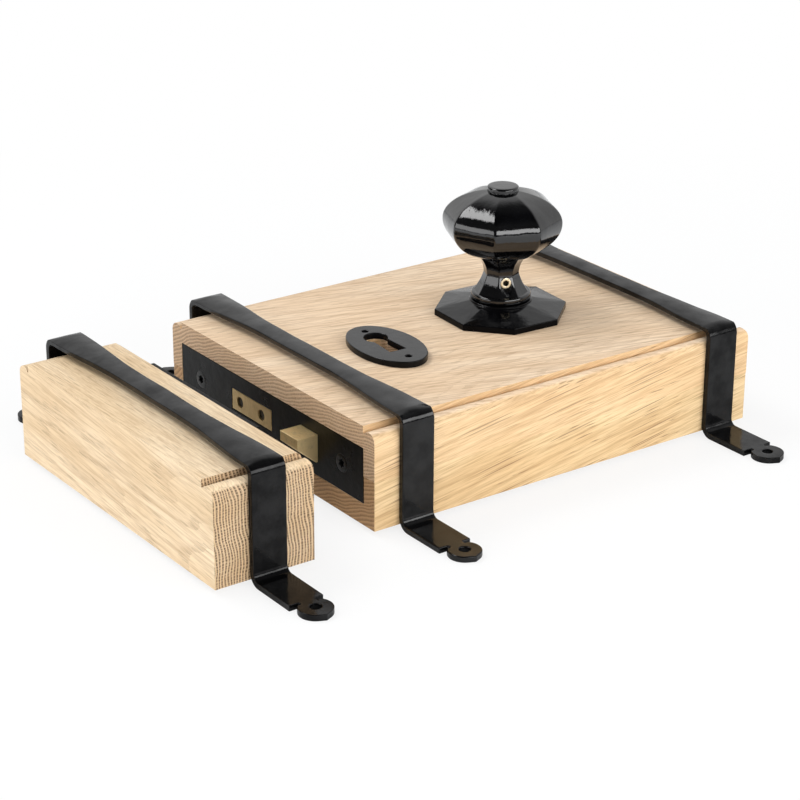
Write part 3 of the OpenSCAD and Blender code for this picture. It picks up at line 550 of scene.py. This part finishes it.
# Points round the foot, the button and the grub screw's hole
FOOT_POINTS, BUTTON_POINTS, HOLE_POINTS = 96, 64, 40
# Radius of a ridge: share of the knob's radius there, what is added, and the most it may be
RIDGE_SHARE, RIDGE_LEAST, RIDGE_MOST = 0.11, 0.2, 2.4
# Unevenness of the casting: share of the radius, and size of its waves
CAST_DEPTH, CAST_WAVE = 0.009, 7.0
# Pairs of radius and height: the foot, the button above the head's top, and the grub screw's hole along its
# axis
FOOT = [(12.9, 0.0), (13.4, 0.2), (13.65, 0.6), (13.7, 1.1), (13.7, 2.0), (13.6, 2.55), (13.3, 2.95),
        (12.8, 3.18), (10, 3.2)]
BUTTON = [(7.2, -1.5), (7.2, 0.2), (7.2, 1.5), (7.05, 1.95), (6.7, 2.25), (6.2, 2.37), (5.2, 2.4),
          (3.0, 2.4), (0.8, 2.4)]
GRUB_R = 2.65
GRUB_HOLE = [(GRUB_R, 3.0), (GRUB_R, 7.7), (GRUB_R, 8.6), (GRUB_R + 3.0, 11.6)]
# Height of the grub screw and the way that its hole faces
GRUB_Z, GRUB_TURN = 9.0, math.radians(247.5)
GRUB_WAY = Vector((math.cos(GRUB_TURN), math.sin(GRUB_TURN), 0))


def knob_profile():
    """Pairs of corner radius and height from the flare up to the button, and the height of the last."""
    join_z = HEAD_Z - DOWN * math.sqrt(1 - (NECK_R / KNOB_R) ** 2)
    top = UP * math.sqrt(1 - (BUTTON_R / KNOB_R) ** 2)
    out = []
    for i in range(FLARE_STEPS + 1):
        t = 1 - i / FLARE_STEPS
        r = WAIST_R + (FLARE_R - WAIST_R) * (0.5 * t + 0.5 * t * t)
        out.append((r, WAIST_Z - (WAIST_Z - RING_H + FLARE_SINK) * t))
    for i in range(1, NECK_STEPS + 1):
        t = i / NECK_STEPS
        out.append((WAIST_R + (NECK_R - WAIST_R) * t * t, WAIST_Z + (join_z - WAIST_Z) * t))
    low, high = math.asin((join_z - HEAD_Z) / DOWN), math.asin(top / UP)
    for i in range(1, HEAD_STEPS + 1):
        a = low + (high - low) * i / HEAD_STEPS
        half = UP if a > 0 else DOWN
        z = half * math.sin(a)
        out.append((KNOB_R * math.sqrt(max(0.0, 1 - (z / half) ** 2)), HEAD_Z + z))
    return out, HEAD_Z + top


def cast_skin(p):
    """Draws a point of the casting in by a slow wave, as hand finishing leaves it."""
    kept = 1 - CAST_DEPTH * (0.5 + 0.5 * noise.noise(p / CAST_WAVE))
    return Vector((p.x * kept, p.y * kept, p.z))


def cut_out(mesh, tool):
    """Mesh with the shape of the tool taken away."""
    bodies = [bpy.data.objects.new(m.name, m) for m in (mesh, tool)]
    for body in bodies:
        scene.collection.objects.link(body)
    cut = bodies[0].modifiers.new("cut", "BOOLEAN")
    cut.operation, cut.solver, cut.object = "DIFFERENCE", "EXACT", bodies[1]
    cut.use_self = True
    bpy.context.view_layer.update()
    shaped = bodies[0].evaluated_get(bpy.context.evaluated_depsgraph_get())
    result = bpy.data.meshes.new_from_object(shaped)
    for body in bodies:
        bpy.data.objects.remove(body)
    return result


def make_knob(material):
    profile, top = knob_profile()
    rings = []
    for r, z in profile:
        corner = min(RIDGE_MOST, RIDGE_SHARE * r + RIDGE_LEAST)
        rings.append([cast_skin(p) for p in octagon_ring(r, z, corner)])
    head = ring_mesh("knob_head", rings)
    foot = turned_mesh("knob_foot", FOOT, FOOT_POINTS)
    button = turned_mesh("knob_button", [(r, top + z) for r, z in BUTTON], BUTTON_POINTS)
    hole = turned_mesh("grub_hole", GRUB_HOLE, HOLE_POINTS)
    turn = GRUB_WAY.to_track_quat("Z", "Y").to_matrix().to_4x4()
    hole.transform(Matrix.Translation((0, 0, GRUB_Z * MM)) @ turn)
    mesh = cut_out(joined("knob_shape", [head, foot, button]), hole)
    mesh.transform(Matrix.Translation(KNOB_AXIS))
    smooth_by_weight(put("knob_casting", mesh, "knob", material, "knob"), 50)


# Countersunk screws of the two plates, in mm: head's and shank's radius, length, recess's radius and depth,
# and the height of the head's rim
HEAD_R, SHANK_R, SCREW_L, RECESS_R, RECESS_DEPTH, HEAD_RIM = 4.2, 2.1, 25, 1.7, 1.8, 0.22
# Points round a screw, and how far its recess's lobes reach out and in, as a share of the recess's radius
SCREW_POINTS, LOBE = 60, 0.16


def lobed_screw():
    """Screw along -z from its head at z = 0, with a six-lobed recess."""
    turns = [2 * math.pi * k / SCREW_POINTS for k in range(SCREW_POINTS)]
    reach = [RECESS_R * (1 + LOBE * math.cos(6 * a)) for a in turns]
    lobes = [Vector((r * math.cos(a), r * math.sin(a), 0)) for r, a in zip(reach, turns)]
    up = Vector((0, 0, 1))
    # Pairs of a share of the lobes' outline and a depth, then pairs of radius and height
    recess = [(0.9, RECESS_DEPTH), (1.0, RECESS_DEPTH - 0.05), (1.0, 0.12), (1.08, 0.0)]
    outside = [(HEAD_R - 0.25, 0.0), (HEAD_R, -HEAD_RIM), (SHANK_R, -HEAD_RIM - (HEAD_R - SHANK_R)),
               (SHANK_R, -SCREW_L + SHANK_R), (0.2, -SCREW_L)]
    rings = [[p * share - up * depth for p in lobes] for share, depth in recess]
    rings += [round_ring(r, z, SCREW_POINTS) for r, z in outside]
    return ring_mesh("lobed_screw", rings)


def plate_screws(name, corner, facing, body, node, material):
    """Both screws of a plate; facing is 1 or -1 along x."""
    turn = Matrix.Rotation(math.radians(90) * facing, 4, "Y")
    screws = []
    for side in (-1, 1):
        spot = corner + Vector((0, BOX_W / 2 + side * PLATE_SCREW_FROM_MIDDLE, MID_Z))
        screws.append(lobed_screw())
        screws[-1].transform(Matrix.Translation(spot) @ turn)
    smooth_by_weight(put(name, joined(name, screws), body, material, node), 45)


# Floor and what the background shows

# Part of the floor's look that is plain white, so that only a soft shadow is left on it
FLOOR_WHITE = 0.8
# Distances from the object between which that part grows to the whole
FLOOR_NEAR, FLOOR_FAR = 0.16, 0.5
# Half the floor's side
FLOOR_REACH = 4
# Strength and tint of the light from all round
AMBIENT, AMBIENT_TINT = 0.66, (0.96, 0.98, 1.0, 1)
# What gloss sees: level way to the middle of a white sweep, how far round and how high it fades, its strength
# at the brightest, and the strength of the dark room
SWEEP_WAY = (0.80, 0.60, 0.0)
SWEEP_ROUND, SWEEP_HIGH, SWEEP_STRENGTH, ROOM_STRENGTH = (0.0, 0.45), (0.70, 0.92), 1.05, 0.08


def make_floor():
    s = material_shader("pale_floor")
    values = {"Base Color": (0.86, 0.86, 0.86, 1), "Roughness": 0.6, "Specular IOR Level": 0.2}
    matt = s.add("BsdfPrincipled", values).outputs[0]
    white = s.add("Emission", {"Color": (1, 1, 1, 1), "Strength": 1.0}).outputs[0]
    path = s.add("LightPath").outputs
    seen = s.math("MAXIMUM", path["Is Camera Ray"], path["Is Transmission Ray"])
    away = s.vector("LENGTH", s.add("TexCoord").outputs["Object"])["Value"]
    share = s.smooth(away, FLOOR_NEAR, FLOOR_FAR, FLOOR_WHITE, 1.0)
    mix = s.add("MixShader", {0: s.times(seen, share), 1: matt, 2: white})
    s.add("OutputMaterial", {"Surface": mix.outputs[0]})
    mesh = bpy.data.meshes.new("floor")
    corners = [(x * FLOOR_REACH, y * FLOOR_REACH, 0) for x, y in ((-1, -1), (1, -1), (1, 1), (-1, 1))]
    mesh.from_pydata(corners, [], [(0, 1, 2, 3)])
    mesh.materials.append(s.owner)
    floor = bpy.data.objects.new("floor", mesh)
    scene.collection.objects.link(floor)


def make_world():
    """White behind the object; gloss sees a white sweep behind it and a dark room in front and above."""
    s = Shader(bpy.data.worlds.new("studio"))
    way = s.add("TexCoord").outputs["Generated"]
    up = s.add("SeparateXYZ", {0: way}).outputs["Z"]
    ceiling = s.smooth(up, *SWEEP_HIGH, SWEEP_STRENGTH, ROOM_STRENGTH)
    behind = s.smooth(s.dot(way, SWEEP_WAY), *SWEEP_ROUND, ROOM_STRENGTH, 1.0)
    room = s.add("Background", {"Color": AMBIENT_TINT, "Strength": AMBIENT}).outputs[0]
    gloss = s.add("Background", {"Strength": s.times(ceiling, behind)}).outputs[0]
    white = s.add("Background", {"Strength": 1.0}).outputs[0]
    path = s.add("LightPath").outputs
    shiny = s.math("MAXIMUM", path["Is Glossy Ray"], path["Is Transmission Ray"])
    lit = s.add("MixShader", {0: shiny, 1: room, 2: gloss}).outputs[0]
    seen = s.add("MixShader", {0: path["Is Camera Ray"], 1: lit, 2: white}).outputs[0]
    s.add("OutputWorld", {"Surface": seen})
    scene.world = s.owner


scene.view_settings.view_transform = "Standard"
make_camera()
make_floor()
make_world()
for light_name, settings in LIGHTS.items():
    area_light(light_name, *settings)

# Finishes

oak_front = oak(
    "oak_front", grain=(1, -0.30, 0.12), out=(0, 0.26, 1), side_grain=(1, 0, 0.15),
    flat_grain=(1, -0.30, 0.025), centre=(-420, 60), ring_mm=1.5,
    pale=(0.86, 0.68, 0.49), warm=(0.80, 0.60, 0.405), dark=(0.48, 0.31, 0.18), pore=(0.22, 0.125, 0.06),
    figure=0.54, dash=0.40, side_dash=0.62, ends=0.68, end_dots=0.7, ray_mm=1.0,
    edge_tint=(0.95, 0.875, 0.71),
)
oak_back = oak(
    "oak_back", grain=(1, -0.25, 0.13), out=(0, 0.30, 1), side_grain=(1, 0, 0.17),
    flat_grain=(1, -0.25, 0.025), centre=(-300, 90), ring_mm=1.6,
    pale=(0.85, 0.66, 0.43), warm=(0.76, 0.55, 0.33), dark=(0.42, 0.25, 0.12), pore=(0.22, 0.115, 0.05),
    figure=0.46, dash=0.4, side_dash=0.72, ends=1.0, end_dots=0.75, ray_mm=1.0,
    edge_tint=(0.94, 0.91, 0.80), seed=3.0,
)
oak_keep = oak(
    "oak_keep", grain=(-0.03, 1, 0.07), out=(1, 0, 0.06), side_grain=(0, 1, 0.07),
    centre=(-300, -40), ring_mm=1.45,
    pale=(0.87, 0.70, 0.485), warm=(0.78, 0.59, 0.37), dark=(0.48, 0.315, 0.17), pore=(0.085, 0.045, 0.02),
    pore_size=(40.0, 0.35), figure=0.42, dash=0.40, side_dash=0.28, ends=0.58, end_dots=1.0, ray_mm=1.15,
    ray_gap=0.7, wander_mm=9.0, ring_tone=0.5, seed=11.0,
)
iron = coated("black_iron", (0.0022, 0.0022, 0.0024), 0.12, 9.0, 0.9, 0.28, uneven=0.2)
# Copy of the black iron, darker and with less sheen, for the rear and keep straps: painted shade, as their
# tops take less of the light than the front strap's
shaded_iron = coated("shaded_iron", (0.0020, 0.0020, 0.0022), 0.12, 9.0, 0.9, 0.19, uneven=0.3)
plate = coated("black_plate", (0.0032, 0.0032, 0.0034), 0.22, 4.0, 0.35, 0.46, rim=0.10)
face_black = coated("face_black", (0.0018, 0.0018, 0.0018), 0.30, 4.0, 0.5, 0.10)
gloss_black = coated("gloss_black", (0.0015, 0.0015, 0.0018), 0.06, 6.0, 0.9, 0.5, coat=0.3)
rose_black = coated("rose_black", (0.0015, 0.0015, 0.0018), 0.07, 6.0, 0.7, 0.34, rim=0.06)
black_screw = coated("black_screw", (0.003, 0.003, 0.003), 0.25, 2.0, 0.3, 0.2)
case_paint = coated("case_grey", (0.11, 0.115, 0.12), 0.40, 4.0, 0.3, 0.5)
brass = metal("bolt_brass", (0.98, 0.77, 0.41), 0.44, (0, 1, 0.1), 0.5)
dull_brass = metal("dull_brass", (0.58, 0.43, 0.21), 0.36, (0, 0.3, 1), 0.5)
# The grub screw's hex socket is painted near black about its axis: painted shade in the recess
bright_brass = metal("bright_brass", (0.98, 0.88, 0.66), 0.26, (0, 0.3, 1), 0.2,
                     (KNOB_AXIS / MM + Vector((0, 0, GRUB_Z)), GRUB_WAY, 1.4))
steel = metal("bare_steel", (0.06, 0.052, 0.045), 0.40)
lever_brass = metal("lever_brass", (0.72, 0.58, 0.30), 0.35, (1, 0.2, 0))

# CAD nodes that are seen as they are wear the finish of their material
FINISH = {
    "oak_front": oak_front, "oak_lock": oak_back, "oak_keep": oak_keep, "black_iron": iron,
    "black_plate": plate, "gloss_black": gloss_black, "black_screw": black_screw, "bolt_brass": brass,
    "steel": steel, "lever_brass": lever_brass, "case_paint": case_paint,
}
for part in frame["record"]["subparts"]:
    held = NODES[part["node"]].data
    held.materials.clear()
    held.materials.append(FINISH[part["material_slot"]])

# Oak

# Distance within which an edge lies on a face
ON_FACE = 0.1 * MM
EASED, BACK_EASED = 0.35 * MM, 0.4 * MM
# The front board's recesses lie at least this far in from its ends, its long sides and its top
RECESS_ENDS, RECESS_SIDES, RECESS_TOP = 0.5 * MM, 9 * MM, 2 * MM
# Edges farther than this from every outer face of the front board aren't eased
OUTER_REACH = 4 * MM
# The strike plate and its pockets hide what lies this far in from the keep's lowest and its highest corner
HIDDEN_LOW, HIDDEN_HIGH = Vector((2, 1, 1)) * MM, Vector((3, 1, 6)) * MM


def from_sides(point, low, high):
    """Least level distance from a point to the upright faces of a box."""
    return min(abs(point[k] - end[k]) for k in (0, 1) for end in (low, high))


front_low, front_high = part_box("front_board")
back_low, back_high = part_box("back_board")
keep_low, keep_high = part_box("keep_block")


def front_edges(middle, edge):
    """Outer edges are eased; those of the recesses and of the glued joint aren't."""
    outside = min(from_sides(middle, front_low, front_high), abs(middle.z - front_high.z))
    within_x = CORNER.x + RECESS_ENDS < middle.x < front_high.x - RECESS_ENDS
    within_y = front_low.y + RECESS_SIDES < middle.y < front_high.y - RECESS_SIDES
    inside = within_x and within_y and middle.z < front_high.z - RECESS_TOP
    joint = abs(middle.z - CORNER.z - MID_Z) < ON_FACE
    return 0 if inside or outside > OUTER_REACH or joint else EASED


def back_edges(middle, edge):
    """Only the outer edges are eased, and not those of the glued joint."""
    joint = abs(middle.z - back_high.z) < ON_FACE
    return BACK_EASED if not joint and from_sides(middle, back_low, back_high) < ON_FACE else 0


def keep_edges(middle, edge):
    """All edges are eased but those that the strike plate and its pockets hide."""
    low, high = keep_low + HIDDEN_LOW, keep_high - HIDDEN_HIGH
    hidden = all(low[k] < middle[k] < high[k] for k in range(3))
    return 0 if hidden else EASED


rounded("front_board", "front_oak", EASED, "lock", oak_front, wider=front_edges)
rounded("back_board", "back_oak", BACK_EASED, "lock", oak_back, wider=back_edges)
rounded("keep_block", "keep_oak", EASED, "keep", oak_keep, wider=keep_edges)

# Iron

strap_bar("front_strap", "front_strap_bar", "lock", iron)
# The rear and keep straps wear the shaded copy of the iron: painted shade
strap_bar("rear_strap", "rear_strap_bar", "lock", shaded_iron)
strap_bar("keep_strap", "keep_strap_bar", "keep", shaded_iron)
rounded("faceplate", "faceplate_sheet", 0.2 * MM, "lock", face_black)
rounded("strike_plate", "strike_sheet", 0.25 * MM, "keep", face_black)
plate_screws("faceplate_screw_pair", CORNER, -1, "lock", "faceplate_screws", black_screw)
plate_screws("strike_screw_pair", KEEP_CORNER, 1, "keep", "strike_screws", black_screw)
rounded("escutcheon", "escutcheon_oval", 0.6 * MM, "lock", plate, 3)
rounded("knob_rose", "rose_casting", 0.45 * MM, "lock", rose_black, 3)
make_knob(gloss_black)

# Brass

# Place of the bolt's front along x
BOLT_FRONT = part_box("deadbolt")[0].x
BOLT_EASED, BORE_EASED = 0.2 * MM, 0.7 * MM
# Edges of the pins' bores are short, as each is one facet of a circle
BORE_FACET = 1 * MM


def bolt_edges(middle, edge):
    """Edges of the bolt's front are eased, and those of the pins' bores more."""
    if abs(middle.x - BOLT_FRONT) >= ON_FACE:
        return 0
    short = (edge.verts[0].co - edge.verts[1].co).length < BORE_FACET
    return BORE_EASED if short else BOLT_EASED


rounded("knob_grub_screw", "grub_screw_turned", 0.2 * MM, "knob", bright_brass)
rounded("latch_bolt", "latch_head", 0.35 * MM, "latch", brass, 3)
rounded("deadbolt", "deadbolt_head", BOLT_EASED, "deadbolt", dull_brass, wider=bolt_edges)
